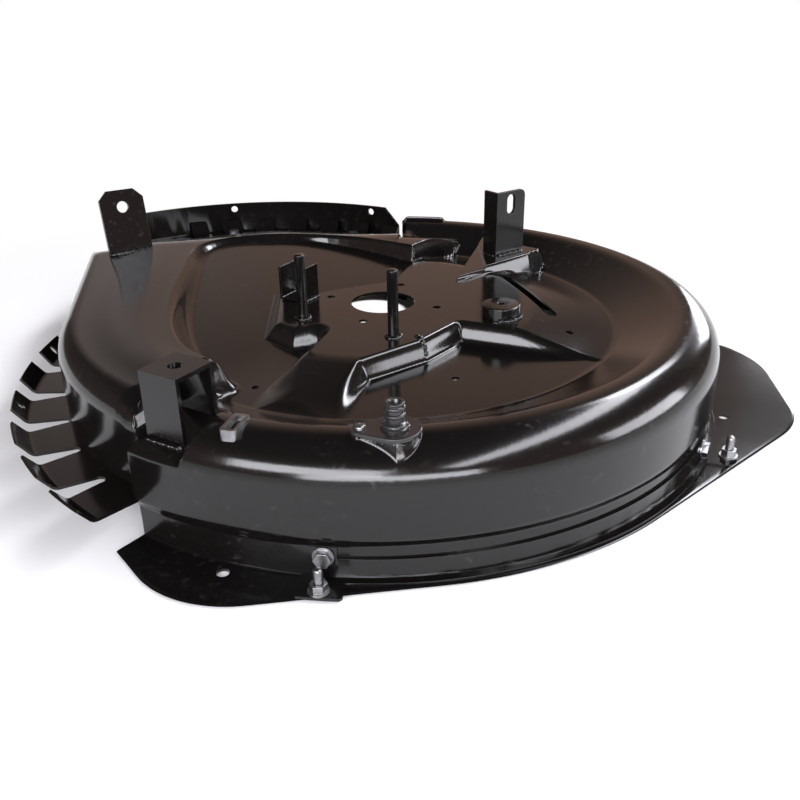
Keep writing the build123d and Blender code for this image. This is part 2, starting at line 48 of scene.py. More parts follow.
# The pressing's sheet, and the heights of its upper face above the spindle seat
SHEET = 2.5
FLOOR_Z = -20.0
CREST_Z = 9.0
HOOD_Z = 14.0
RIM_Z = -108.0
REAR_COMB_Z = -70.0
SIDE_COMB_Z = -40.0
FAR_BELOW = 300.0

# Radii about the spindle axis, and the rolls of the shoulder
BORE_R = 35.0
FLOOR_R = 250.0
CREST_R = 312.0
WALL_R = 357.0
JOGGLE = 4.0
JOGGLE_Z = (-68.5, -77.5)
SKIRT_R = WALL_R - JOGGLE
CREST_ROLL = 36.0
HOOD_ROLL = 24.0

# Hood over the discharge, between the ends of the ring's own wall
HOOD_WALL_R = 342.0
HOOD_TANGENT_AZ = 191.0
HOOD_CROWN = 4.0
HOOD_END_AZ = 230.0
ROOF_SLOPES = ((78.5, 217.0, 0.32), (110.4, 287.0, 0.28))  # azimuth, start and fall
MOUTH = (-180.0, 147.0)
MOUTH_R = 270.0
MOUTH_SWING = (52.5, 114.0)
SIDE_END_AZ = 85.0
REAR_START_AZ = 171.6
REAR_END_AZ = 234.0
SHARP_AZ = 0.3

# What stands on the pan and the rim
PORT_AZ = 272.25
PORT_R = 325.5
PORT_SEAT_Z = 10.0
PORT_EAR = 27.0
BOX_AZ = 238.5
BOX_SEAT_R = 293.5
BOX_SEAT_FALL = 0.306
PIN_R = 5.5
RIGHT_PIN = (11.5, -104.0)
LEFT_PIN = (-84.0, -47.0)
TAB = (-320.0, 163.0)
TAB_AZ = 31.7
ANGLE = (139.0, 138.0)
ANGLE_AZ = 36.0
ANGLE_FOOT_Z = 8.2
IDLER = (125.0, -48.0)
IDLER_R = 21.0
STUDS = ((-49.0, -371.0), (339.0, -171.0))
STUD_R = 4.0
STUD_ENDS_Z = (-110.5, -84.0)
WING_HOLES = ((-129.0, -342.0), (365.0, -82.0))
WING_HOLE_R = 5.5
RIM_ROUNDS = ((0, 0, SKIRT_R + 13.0), (-118, -283, 101), (342, -45, 106), (352, 45, 107))  # x, y and radius

# Grid of the pan: azimuth steps, and the rows where its parts meet
FLOOR_STEP = 0.54
WALL_STEP = 0.62
LINING_STEP = 0.6
PORT_COLUMNS = (265.0, 278.0, 0.17)
NEAR_ROW, NEAR_SPAN, NEAR_FOLD = 0.8, 0.2, 16.0
SEAM_ROW = 1.0
LAST_ROW = 4.0
BELOW_PAN_Z = -60.0


# Pan: one height for every place in plan, built from soft unions of the pressed forms

def spot(r, az, centre=(0.0, 0.0)):
    """Place in plan at a distance and an azimuth from a centre."""
    return (centre[0] + r * math.cos(math.radians(az)), centre[1] + r * math.sin(math.radians(az)))


def soft_low(a, b, k):
    """Lower of two heights with a rounded meeting."""
    h = np.clip(0.5 + 0.5 * (b - a) / k, 0, 1)
    return b + (a - b) * h - k * h * (1 - h)


def soft_high(a, b, k):
    """Higher of two heights with a rounded meeting."""
    return -soft_low(-a, -b, k)


def soft_step(low, high, value):
    """0 at low and 1 at high, with a soft change between."""
    t = np.clip((value - low) / (high - low), 0, 1)
    return t * t * (3 - 2 * t)


def depth_inside(x, y, corners):
    """Distance to the sides of a straight-sided outline, positive inside."""
    best = np.full(np.shape(x), 1e9)
    inside = np.zeros(np.shape(x), bool)
    for (ax, ay), (bx, by) in zip(corners, corners[1:] + corners[:1]):
        ex, ey = bx - ax, by - ay
        wx, wy = x - ax, y - ay
        t = np.clip((wx * ex + wy * ey) / (ex * ex + ey * ey), 0, 1)
        best = np.minimum(best, (wx - ex * t) ** 2 + (wy - ey * t) ** 2)
        rise = ey if abs(ey) > 1e-9 else 1e-9
        inside ^= ((ay <= y) != (by <= y)) & (wx < wy * ex / rise)
    return np.where(inside, 1.0, -1.0) * np.sqrt(best)


STAR_FOOT = (
    [spot(260, az) for az in (329, 347, 8, 30, 52, 70)]
    + [(50, 205), (22, 140), (4, 84), (-43, 63)]
    + [(-74, 52), (-132, 56), (-124, -66), (-92, -92), (-66, -80)]
    + [spot(260, 241.5), spot(260, 261.7), (-12.7, -166), (44, -122), (82.7, -72.6)]
)
PAD = [(86, 67), (181, 146), (200, 170), (130, 235), (100, 125)]
POCKET_CORNERS = [
    (36, 172), (3, 194), (-38, 219), (-100, 241), (-152, 241), (-202, 230), (-229, 206), (-240, 170),
    (-234, 101), (-227, -7), (-213, -83), (-186, -150), spot(237, HOOD_END_AZ),
]


def eased(points, rounds=2):
    """Line with its corners cut off again and again."""
    for _ in range(rounds):
        cut = [points[0]]
        for (ax, ay), (bx, by) in zip(points, points[1:]):
            cut.append((0.75 * ax + 0.25 * bx, 0.75 * ay + 0.25 * by))
            cut.append((0.25 * ax + 0.75 * bx, 0.25 * ay + 0.75 * by))
        points = cut + [points[-1]]
    return points


POCKET_EDGE = eased(POCKET_CORNERS)
FOLD_EDGE = np.array(
    [(64.0, FLOOR_R), (70.0, 252.0)]
    + [(math.degrees(math.atan2(y, x)) % 360, math.hypot(x, y)) for x, y in POCKET_EDGE]
    + [(238.0, FLOOR_R)]
)


def mouth_ray(az):
    """Distance from the spindle axis to the round mouth, along an azimuth."""
    ahead = MOUTH[0] * np.cos(az) + MOUTH[1] * np.sin(az)
    return ahead + np.sqrt(ahead**2 + MOUTH_R**2 - MOUTH[0] ** 2 - MOUTH[1] ** 2)


def hood_ray(az):
    """Distance from the spindle axis to the hood's outer wall."""
    lean = np.clip(np.radians(HOOD_TANGENT_AZ) - az, 0, 1.2)
    side = HOOD_WALL_R / np.cos(lean)
    return np.where(az < np.radians(168.0), soft_low(side, mouth_ray(az), 34.0), side)


def wall_ray(az):
    """Distance to the outer wall for azimuths from 0 to 360 degrees, with a sharp end at each mouth."""
    in_hood = hood_share(np.degrees(az))
    return WALL_R + (hood_ray(az) - WALL_R) * in_hood, in_hood


def fold_ray(az):
    """Where the floor or the pocket ends and the ring or hood begins."""
    return np.interp(np.degrees(az), FOLD_EDGE[:, 0], FOLD_EDGE[:, 1])


def hood_zone():
    """Plan of the raised hood."""
    arc = np.radians(np.linspace(89.0, HOOD_END_AZ, 90))
    far = hood_ray(arc) + 60.0
    outline = [(r * math.cos(a), r * math.sin(a)) for r, a in zip(far, arc)]
    return [(97.0, 252.0), (60.0, 400.0)] + outline + list(reversed(POCKET_EDGE))


HOOD_ZONE = hood_zone()


def box_seat_height(x, y):
    """Sloping seat of the box bracket; far above the pan outside its own strip."""
    c, s = math.cos(math.radians(BOX_AZ)), math.sin(math.radians(BOX_AZ))
    u, v = x * c + y * s, y * c - x * s
    level = -3.5 - (u - BOX_SEAT_R) * BOX_SEAT_FALL
    away = np.maximum(np.abs(v) - 29.0, 287.0 - u)
    return level + np.maximum(away, 0) * 2.2


def port_boss_height(x, y):
    """Flat boss under the hose port; far below the pan outside its own outline."""
    cx, cy = spot(PORT_R, PORT_AZ)
    turn = math.radians(PORT_AZ - 270)
    u = (x - cx) * math.cos(turn) + (y - cy) * math.sin(turn)
    v = (y - cy) * math.cos(turn) - (x - cx) * math.sin(turn)
    t = np.clip(-u / PORT_EAR, 0, 1)
    d = np.hypot(u + PORT_EAR * t, v) - (19.0 - 13.0 * t)
    return PORT_SEAT_Z - np.maximum(d, 0) * 3.6


def hood_share(deg):
    """1 where the hood stands on the outer wall and 0 along the ring, with a sharp change between."""
    started = np.clip((deg - SIDE_END_AZ) / SHARP_AZ + 0.5, 0, 1)
    return started * np.clip((REAR_END_AZ - deg) / SHARP_AZ + 0.5, 0, 1)


def roof_height(x, y, level):
    """Hood level, cut back where the roof falls towards the side comb."""
    for az, start, fall in ROOF_SLOPES:
        ahead = x * math.cos(math.radians(az)) + y * math.sin(math.radians(az))
        level = soft_low(level, HOOD_Z - fall * (ahead - start), 5.0)
    return level


def floor_height(x, y):
    """Flat floor with the ramp that climbs towards the discharge."""
    ramp = np.minimum(FLOOR_Z + 3.6 - 0.040 * x + 0.064 * y, FLOOR_Z + (70 - x) * 0.6)
    return soft_high(np.full(np.shape(x), FLOOR_Z), ramp, 3.0)


def star_height(x, y, r):
    """Raised star round the spindle, softer on the left lobe and less steep on the near arm."""
    top = soft_low(np.zeros(np.shape(x)), (162.0 - r) * 20.0 / 88.0, 2.0)
    rounding = 10.0 + 18.0 * soft_step(-45.0, -75.0, x)
    steep = 2.475 - 1.3 * soft_step(-150.0, -200.0, y)
    return soft_low(FLOOR_Z + depth_inside(x, y, STAR_FOOT) * steep, top, rounding)


def ring_height(r, share):
    """Slope from the floor to the crest of the ring; far below the pan where the hood takes its place."""
    slope = FLOOR_Z + (r - FLOOR_R) * (CREST_Z - FLOOR_Z) / (CREST_R - FLOOR_R)
    return soft_low(slope, np.full(np.shape(r), CREST_Z), 3.8) - FAR_BELOW * share


def pad_height(x, y):
    """Pad under the slotted angle, with a lower step towards the spindle."""
    top = 8.0 - 3.0 * soft_step(124.0, 120.0, x)
    return soft_low(FLOOR_Z + 21.0 + depth_inside(x, y, PAD) * 3.0, top, 3.0)


def hood_height(x, y, zone, top):
    """Hood with the wall of the discharge pocket, which is steeper on the far side."""
    spread = 13.0 - 7.0 * soft_step(-150.0, -80.0, x) * soft_step(0.0, 60.0, y)
    wall = HOOD_Z + (zone - 1.0) * 26.0 / spread
    return np.where(zone > -60, soft_low(wall, top, 12.0), -1e3)


def pan_height(x, y, top):
    """Upper face of the pan inside its rolled shoulder, for a given top of the hood."""
    r = np.hypot(x, y)
    deg = np.degrees(np.arctan2(y, x)) % 360
    share = hood_share(deg) * (deg < HOOD_END_AZ - 0.5)
    height = soft_high(floor_height(x, y), star_height(x, y, r), 6.0)
    height = soft_high(height, ring_height(r, share), 2.5)
    height = soft_high(height, pad_height(x, y), 2.0)
    zone = depth_inside(x, y, HOOD_ZONE)
    base = height - FAR_BELOW * soft_step(5.0, 14.0, zone) * share
    base = np.where((zone > 0) & (r > 200), np.minimum(base, HOOD_Z), base)
    foot = 4.0 + 12.0 * soft_step(-90.0, -160.0, x)
    return soft_high(base, hood_height(x, y, zone, top), foot)


def pan_point(az, s):
    """Place on the pan for an azimuth in radians and a row number s.

    Rows 0 to 1 are the floor, 1 to 2 the ring or the hood, 2 to 3 the roll and 3 to 4 the wall.
    """
    outer, in_hood = wall_ray(az)
    step = 2e-3
    ahead, _ = wall_ray(az + step)
    behind, _ = wall_ray(az - step)
    turn = np.clip((ahead - behind) / (2 * step) / outer, -1.2, 1.2)
    depth = CREST_ROLL + (HOOD_ROLL - CREST_ROLL) * in_hood
    roll = depth * np.sqrt(1 + turn**2)
    fold = fold_ray(az)
    roll_start = outer - roll
    near = fold - NEAR_FOLD
    inner = np.where(
        s < NEAR_ROW,
        BORE_R + (near - BORE_R) * s / NEAR_ROW,
        near + (fold - near) * (s - NEAR_ROW) / NEAR_SPAN,
    )
    middle = fold + (roll_start - fold) * np.clip(s - 1, 0, 1)
    angle = np.clip(s - 2, 0, 1) * math.pi / 2
    r = np.where(s < 1, inner, np.where(s < 2, middle, roll_start + roll * np.sin(angle)))
    x, y = r * np.cos(az), r * np.sin(az)
    held = np.where(s < 2, r, roll_start)
    level = np.full(np.shape(x), HOOD_Z)
    roof = np.where(s < 2, roof_height(x, y, level), level)
    top = pan_height(held * np.cos(az), held * np.sin(az), roof)
    z = top - depth * (1 - np.cos(angle))
    z = np.where((s >= 2) & (in_hood > 0.5), roof_height(x, y, z), z)
    z = z + HOOD_CROWN * in_hood * np.sin(math.pi * np.clip(s - 1, 0, 1)) ** 2 * (s < 2)
    z = soft_low(z, box_seat_height(x, y), 3.0)
    z = np.where(s < 3.0001, soft_high(z, port_boss_height(x, y), 4.0), z)
    down = np.clip(s - 3, 0, 1)
    end = wall_foot(az, in_hood)
    z = np.where(s > 3, z + (end - z) * down, z)
    r = r - JOGGLE * (1 - in_hood) * soft_step(*JOGGLE_Z, z) * (s > 3)
    return np.stack([r * np.cos(az), r * np.sin(az), z], -1)


def wall_foot(az, in_hood):
    """Lower edge of the outer wall: the rim, or a comb where the wall stops above a discharge opening."""
    deg = np.degrees(az)
    rear = np.clip((deg - REAR_START_AZ) / SHARP_AZ + 0.5, 0, 1) * in_hood
    r = wall_ray(az)[0]
    swing = np.degrees(np.arctan2(r * np.sin(az) - MOUTH[1], r * np.cos(az) - MOUTH[0]))
    first, last = MOUTH_SWING
    side = in_hood * np.clip((swing - first) / 0.6, 0, 1) * np.clip((last - swing) / 0.6, 0, 1) * (deg < 171)
    low = RIM_Z - SHEET * in_hood
    return low + (REAR_COMB_Z - low) * rear + (SIDE_COMB_Z - low) * side


def pan_normal(az, s):
    """Direction straight out of the sheet, from small steps along the surface."""
    da, ds = 4e-4, 3e-3
    around = pan_point(az + da, s) - pan_point(az - da, s)
    across = pan_point(az, np.minimum(s + ds, LAST_ROW)) - pan_point(az, np.maximum(s - ds, 0))
    out = np.cross(across, around)
    return out / np.linalg.norm(out, axis=-1, keepdims=True)


def columns(step, close):
    """Azimuths of the grid, closer at the ends of the wall and at the hose port."""
    ends = [a + d for a in (REAR_END_AZ, SIDE_END_AZ, REAR_START_AZ) for d in (-0.17, -0.13, 0.13, 0.17)]
    return np.array(sorted(set(list(np.arange(0, 360, step)) + ends + list(close)) | {360.0}))


def wrapped_grid(first, second, place):
    """Mesh grid whose vertices are put where place says; each keeps its normal and its row."""
    bm = bmesh.new()
    bmesh.ops.create_grid(bm, x_segments=len(first) - 1, y_segments=len(second) - 1, size=1.0)
    bm.verts.ensure_lookup_table()
    nx, ny = len(first), len(second)
    u = np.array([v.co.x for v in bm.verts])
    w = np.array([v.co.y for v in bm.verts])
    i = np.rint((u + 1) / 2 * (nx - 1)).astype(int)
    j = np.rint((w + 1) / 2 * (ny - 1)).astype(int)
    points, normals = place(np.asarray(first)[i], np.asarray(second)[j])
    layer = bm.verts.layers.float_vector.new("sheet_normal")
    row = bm.verts.layers.float.new("row")
    for v, p, n, k in zip(bm.verts, points * MM, normals, np.asarray(second, float)[j]):
        v.co = p
        v[layer] = n
        v[row] = k
    return bm


def finished(name, bm, slot_name, node):
    """Piece of the deck from a mesh under work, with its finish and the node that it replaces."""
    layer = bm.verts.layers.float_vector.get("sheet_normal")
    normals = [v[layer].copy() for v in bm.verts] if layer else []
    mesh = bpy.data.meshes.new(name)
    for face in bm.faces:
        face.smooth = True
    bm.to_mesh(mesh)
    bm.free()
    if any(n.length_squared > 0.5 for n in normals):
        mesh.normals_split_custom_set_from_vertices(normals)
    piece = bpy.data.objects.new(name, mesh)
    bpy.context.scene.collection.objects.link(piece)
    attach(piece, "root")
    if node:
        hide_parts(node)
    mesh.materials.append(FINISHES[slot_name])
    return piece


def circle(centre, r, count=20):
    """Outline of a round hole."""
    return [spot(r, 360.0 * k / count, centre) for k in range(count)]


def long_hole(centre, az, length, width, count=8):
    """Outline of a slot with round ends."""
    half = (length - width) / 2
    ends = []
    for side, start in ((half, -90), (-half, 90)):
        for k in range(count + 1):
            a = math.radians(start + 180 * k / count)
            ends.append((side + width / 2 * math.cos(a), width / 2 * math.sin(a)))
    c, s = math.cos(math.radians(az)), math.sin(math.radians(az))
    return [(centre[0] + c * u - s * v, centre[1] + s * u + c * v) for u, v in ends]


def cut_through(bm, outline, margin=6.0, low=-1e3):
    """Cuts an upright hole with a convex outline into the sheet above a height and removes what is inside."""
    pts = [Vector((x * MM, y * MM, 0)) for x, y in outline]
    x0 = min(p.x for p in pts) - margin * MM
    x1 = max(p.x for p in pts) + margin * MM
    y0 = min(p.y for p in pts) - margin * MM
    y1 = max(p.y for p in pts) + margin * MM

    def near(face):
        c = face.calc_center_median()
        return x0 < c.x < x1 and y0 < c.y < y1 and low * MM < c.z

    faces = [f for f in bm.faces if near(f)]
    area = sum(a.cross(b).z for a, b in zip(pts, pts[1:] + pts[:1]))
    for a, b in zip(pts, pts[1:] + pts[:1]):
        faces = [f for f in faces if f.is_valid]
        side = (b - a).normalized()
        out = Vector((side.y, -side.x, 0)) * (1 if area > 0 else -1)
        geom = set(faces)
        for f in faces:
            geom.update(f.edges)
            geom.update(f.verts)
        made = bmesh.ops.bisect_plane(bm, geom=list(geom), dist=CLOSE, plane_co=a, plane_no=out)
        faces = list({g for g in made["geom"] if isinstance(g, bmesh.types.BMFace)})
    centres = [f.calc_center_median() for f in faces]
    deep = depth_inside(np.array([c.x for c in centres]) / MM, np.array([c.y for c in centres]) / MM, outline)
    gone = [f for f, d in zip(faces, deep) if d > 0]
    bmesh.ops.delete(bm, geom=gone, context="FACES")


def hole_walls(bm):
    """Turns every open edge of the sheet inwards by its thickness, except along the seam row."""
    row = bm.verts.layers.float.get("row")
    layer = bm.verts.layers.float_vector.get("sheet_normal")
    near_row = 1e-3

    def on_seam(edge):
        return all(abs(v[row] - SEAM_ROW) < near_row for v in edge.verts)

    edges = [e for e in bm.edges if e.is_boundary and not on_seam(e)]
    made = bmesh.ops.extrude_edge_only(bm, edges=edges)["geom"]
    for v in (g for g in made if isinstance(g, bmesh.types.BMVert)):
        inwards = Vector((0, 0, -1))
        if v[row] >= LAST_ROW - near_row:
            inwards = -Vector((v[layer].x, v[layer].y, 0)).normalized()
        v.co += inwards * SHEET * MM
        v[layer] = (0, 0, 0)
    split = bmesh.ops.split_edges(bm, edges=edges)["edges"]
    for e in split:
        if all(v.is_boundary and len(v.link_faces) <= 2 for v in e.verts):
            for face in e.link_faces:
                if any(v[layer].length_squared == 0 for v in face.verts):
                    for v in e.verts:
                        v[layer] = (0, 0, 0)


PAN_HOLES = (
    [circle(spot(62.0, 71.0 + 90 * k), 4.5) for k in range(4)]
    + [circle(p, 4.0) for p in ((70, -164), (194, -75), (-118, -176))]
    + [long_hole((164, 26), -73.6, 134, 14)]
)


def pan_rows(first, last):
    """Row numbers of the grid between two folds of the pan."""
    rows = np.concatenate([
        np.linspace(0, NEAR_ROW, 112), np.linspace(NEAR_ROW, 1.0, 19)[1:], 1 + np.linspace(0, 1, 52)[1:],
        2 + np.linspace(0, 1, 45)[1:], 3 + np.linspace(0, 1, 26)[1:],
    ])
    return rows[(rows >= first - 1e-9) & (rows <= last + 1e-9)]


def pierce(bm):
    """Cuts the bolt holes, the small holes and the slot into the floor."""
    for outline in PAN_HOLES:
        cut_through(bm, outline, low=BELOW_PAN_Z)


def pan_skin(name, first, last):
    """Part of the upper face of the pressing, between two rows."""
    floor = first == 0
    az = columns(FLOOR_STEP, []) if floor else columns(WALL_STEP, np.arange(*PORT_COLUMNS))
    bm = wrapped_grid(np.radians(az), pan_rows(first, last), lambda a, s: (pan_point(a, s), pan_normal(a, s)))
    bmesh.ops.remove_doubles(bm, verts=bm.verts, dist=CLOSE)
    bmesh.ops.reverse_faces(bm, faces=bm.faces)
    if floor:
        pierce(bm)
    hole_walls(bm)
    finished(name, bm, "deck_paint", "deck_shell")


def pan_lining(name, first, last):
    """Part of the under face of the pressing, a sheet's thickness inside the skin."""
    def under(a, s):
        n = pan_normal(a, s)
        return pan_point(a, s) - SHEET * n, -n

    bm = wrapped_grid(np.radians(columns(LINING_STEP, [])), pan_rows(first, last), under)
    bmesh.ops.remove_doubles(bm, verts=bm.verts, dist=CLOSE)
    if first == 0:
        pierce(bm)
    finished(name, bm, "deck_paint", "deck_shell")


def rim_ray():
    """Outer edge of the rim flange with its wings, as a distance for every azimuth."""
    points = []
    for x, y, r in RIM_ROUNDS:
        points += circle((x, y), r, 240)
    hull = [points[k] for k in geometry.convex_hull_2d(points)]
    edge = [
        (a[0] + (b[0] - a[0]) * t, a[1] + (b[1] - a[1]) * t)
        for a, b in zip(hull, hull[1:] + hull[:1])
        for t in np.linspace(0, 1, 24)
    ]
    place = sorted((math.degrees(math.atan2(y, x)) % 360, math.hypot(x, y)) for x, y in edge)
    az = np.array([p[0] for p in place])
    far = np.array([p[1] for p in place])
    return lambda deg: np.interp(np.asarray(deg) % 360, az, far, period=360)


def rim_flange():
    """Flat rim round the bottom edge with its wings."""
    ray = rim_ray()
    az = np.arange(REAR_END_AZ, 360 + SIDE_END_AZ + 0.01, 0.5)
    rows = np.array([0, 0.02, 0.05, 0.1, 0.25, 0.5, 0.75, 0.9, 0.96, 0.985, 1.0, 1.5, 2.0])
    edge_width, edge_drop = 2.0, 0.8
    fillet_row, fillet_rise = 0.051, 2.2

    def place(deg, t):
        far = ray(deg)
        near = SKIRT_R - SHEET * 0.6
        top = np.clip(t, 0, 1)
        r = near + (far - near) * np.where(t <= 1, top, 2 - t)
        edge = np.clip((r - far + edge_width) / edge_width, 0, 1)
        z = np.where(t <= 1, RIM_Z - edge_drop * edge**2, RIM_Z - SHEET)
        z = z + np.where(t <= fillet_row, fillet_rise * (1 - t / fillet_row) ** 2, 0)
        a = np.radians(deg)
        return np.stack([r * np.cos(a), r * np.sin(a), z], -1), np.zeros((len(deg), 3))

    bm = wrapped_grid(az, rows, place)
    for hole in WING_HOLES:
        cut_through(bm, circle(hole, WING_HOLE_R), margin=9.0)
    edges = [e for e in bm.edges if e.is_boundary]
    for hole in WING_HOLES:
        loop = [e for e in edges if (e.verts[0].co.xy - Vector(hole) * MM).length < (WING_HOLE_R + 1.5) * MM]
        bmesh.ops.bridge_loops(bm, edges=loop)
    bmesh.ops.recalc_face_normals(bm, faces=bm.faces)
    sharpen(finished("rim_flange", bm, "deck_paint", "deck_shell"))


def sharpen(piece, angle=40.0):
    """Smooth shading that keeps real corners."""
    piece.data.set_sharp_from_angle(angle=math.radians(angle))


def comb_sheet(name, centre, root_r, fold_r, level, slot_depth, start_az, pitch, count, eyes):
    """Row of fingers with upturned tips along a discharge edge."""
    rise = math.radians(52.0)
    tip, bend = 20.0, 7.0
    gap = math.degrees(24.0 / fold_r)
    az = np.arange(start_az + gap / 2, start_az + pitch * count - gap / 2 + 0.01, 0.45)
    run = bend * math.tan(rise / 2)
    flat_rows, bend_rows, tip_rows = 8, 7, 3
    flat = np.linspace(root_r, fold_r - run, flat_rows)
    rows = np.arange(flat_rows + bend_rows + tip_rows)

    def profile(k):
        if k < flat_rows:
            return flat[k], level
        k -= flat_rows - 1
        if k <= bend_rows:
            a = rise * k / bend_rows
            return fold_r - run + bend * math.sin(a), level + bend * (1 - math.cos(a))
        t = run + (tip - run) * (k - bend_rows) / tip_rows
        return fold_r + t * math.cos(rise), level + t * math.sin(rise)

    table = np.array([profile(k) for k in rows])

    def place(deg, k):
        a = np.radians(deg)
        r, z = table[k.astype(int), 0], table[k.astype(int), 1]
        return np.stack([centre[0] + r * np.cos(a), centre[1] + r * np.sin(a), z], -1), np.zeros((len(deg), 3))

    bm = wrapped_grid(az, rows, place)
    tip_r = fold_r + tip * math.cos(rise)
    for k in range(1, count):
        gap_plan = finger_gap(centre, fold_r - slot_depth, fold_r, tip_r, start_az + k * pitch)
        cut_through(bm, gap_plan, margin=12.0)
    for k in eyes:
        eye = spot((fold_r + tip_r) / 2, start_az + (k + 0.5) * pitch, centre)
        cut_through(bm, circle(eye, 3.9, 14), margin=8.0)
    bmesh.ops.recalc_face_normals(bm, faces=bm.faces)
    bm.normal_update()
    if sum(f.normal.z for f in bm.faces) < 0:
        bmesh.ops.reverse_faces(bm, faces=bm.faces)
    piece = finished(name, bm, "deck_paint", "deck_shell")
    wall = piece.modifiers.new("sheet", "SOLIDIFY")
    wall.thickness = SHEET * MM
    wall.offset = -1
    soft = piece.modifiers.new("edges", "BEVEL")
    soft.width = 1.0 * MM
    soft.segments = 3
    soft.limit_method = "ANGLE"
    soft.angle_limit = math.radians(50)


def finger_gap(centre, root, fold, tip, az):
    """Plan of the gap between two fingers: round at the root and wider at the mouth."""
    half, half_at_fold = 5.5, 12.0
    end = tip + 11.0
    wide = half + (half_at_fold - half) * (end - root) / (fold - root)
    shape = [(end, -wide), (end, wide)]
    for k in range(9):
        a = math.radians(90 + 180 * k / 8)
        shape.append((root + half * math.cos(a), half * math.sin(a)))
    c, s = math.cos(math.radians(az)), math.sin(math.radians(az))
    return [(centre[0] + c * u - s * v, centre[1] + s * u + c * v) for u, v in shape]


# Small pieces

def along(start, az, u, v, z):
    """Place at u along and v across a line that starts at a point and runs towards an azimuth."""
    c, t = math.cos(math.radians(az)), math.sin(math.radians(az))
    return (start[0] + c * u - t * v, start[1] + t * u + c * v, z)


def joined(parts):
    """One mesh from several."""
    whole = bmesh.new()
    for bm in parts:
        mesh = bpy.data.meshes.new("part")
        bm.to_mesh(mesh)
        bm.free()
        whole.from_mesh(mesh)
        bpy.data.meshes.remove(mesh)
    return whole


def rounded_edges(piece, width, angle=40.0, segments=2):
    """Small rounding on the sharp edges of a plate, with its flats left flat."""
    soft = piece.modifiers.new("edges", "BEVEL")
    soft.width = width * MM
    soft.segments = segments
    soft.limit_method = "ANGLE"
    soft.angle_limit = math.radians(angle)
    soft.harden_normals = True


def softened(node, slot_name, width):
    """Copy of a plain solid with rounded edges, shown in its place."""
    bm = bmesh.new()
    bm.from_mesh(bpy.data.objects[node].data)
    bmesh.ops.remove_doubles(bm, verts=bm.verts, dist=CLOSE)
    bmesh.ops.dissolve_limit(bm, angle_limit=math.radians(0.5), verts=bm.verts, edges=bm.edges)
    piece = finished(node + "_rounded", bm, slot_name, node)
    sharpen(piece)
    rounded_edges(piece, width)


def turned(profile, centre, steps=48):
    """Round shape from pairs of radius and height, closed where the profile is."""
    bm = bmesh.new()
    line = [bm.verts.new(((centre[0] + r) * MM, centre[1] * MM, z * MM)) for r, z in profile]
    edges = [bm.edges.new(pair) for pair in zip(line, line[1:] + line[:1])]
    middle = (centre[0] * MM, centre[1] * MM, 0)
    bmesh.ops.spin(
        bm, geom=line + edges, cent=middle, axis=(0, 0, 1), angle=2 * math.pi, steps=steps, use_merge=True
    )
    bmesh.ops.remove_doubles(bm, verts=bm.verts, dist=CLOSE)
    bmesh.ops.recalc_face_normals(bm, faces=bm.faces)
    return bm


def slab(outline, low, high):
    """Flat plate from its outline."""
    bm = bmesh.new()
    face = bm.faces.new([bm.verts.new((x * MM, y * MM, low * MM)) for x, y in outline])
    made = bmesh.ops.extrude_face_region(bm, geom=[face])["geom"]
    upper = [g for g in made if isinstance(g, bmesh.types.BMVert)]
    bmesh.ops.translate(bm, verts=upper, vec=(0, 0, (high - low) * MM))
    bmesh.ops.recalc_face_normals(bm, faces=bm.faces)
    return bm


def hose_port():
    """Teardrop flange with a hose nipple, and the screw in the flange's ear."""
    centre = spot(PORT_R, PORT_AZ)
    points = circle((0, 0), 21.0, 64) + circle((-PORT_EAR, 0), 8.0, 32)
    hull = [points[k] for k in geometry.convex_hull_2d(points)]
    outline = [along(centre, PORT_AZ - 270, u, v, 0)[:2] for u, v in hull]
    plate = slab(outline, PORT_SEAT_Z, PORT_SEAT_Z + 4.0)
    flange = finished("hose_port_flange", plate, "port_plastic", "hose_port")
    sharpen(flange)
    rounded_edges(flange, 1.0, segments=3)
    rise = [
        (4.9, 4.0), (11.5, 4.0), (11.5, 15.4), (10.9, 15.9), (10.3, 16.2), (10.3, 17.6), (9.6, 18.4),
        (8.0, 18.9), (7.2, 19.4), (7.2, 23.0), (7.8, 23.5), (8.4, 24.2), (8.4, 25.8), (7.8, 26.4),
        (6.9, 26.8), (6.9, 29.2), (7.8, 29.7), (8.4, 30.3), (8.4, 32.0), (7.9, 32.6), (7.4, 33.0),
        (7.4, 34.2), (7.9, 34.8), (7.9, 35.4), (7.3, 36.0), (5.6, 36.0), (4.9, 35.4),
    ]
    nipple = finished("hose_port_nipple", turned(rise, centre), "port_plastic", "hose_port")
    sharpen(nipple, 50)
    ear = along(centre, PORT_AZ - 270, -PORT_EAR, 0, 0)[:2]
    head = [
        (0.0, 13.0), (4.6, 13.0), (4.6, 15.6), (4.1, 16.6), (3.0, 17.2), (1.6, 17.2), (1.4, 16.2), (0.0, 16.0),
    ]
    screw = finished("hose_port_screw_head", turned(head, ear, 32), "zinc_steel", "hose_port_screw")
    sharpen(screw, 50)


def threads(name, node, places, low, high, r):
    """Studs with a rippled thread and a coned tip."""
    pitch, groove = 0.6, 0.45
    parts = []
    for place in places:
        side = [(r - groove * (k % 2), z) for k, z in enumerate(np.arange(low, high - 1.6, pitch))]
        tip = [(r - 0.4, high - 1.2), (r - 1.5, high), (0.0, high)]
        parts.append(turned([(0.0, low)] + side + tip, place, 24))
    finished(name, joined(parts), "zinc_steel", node)


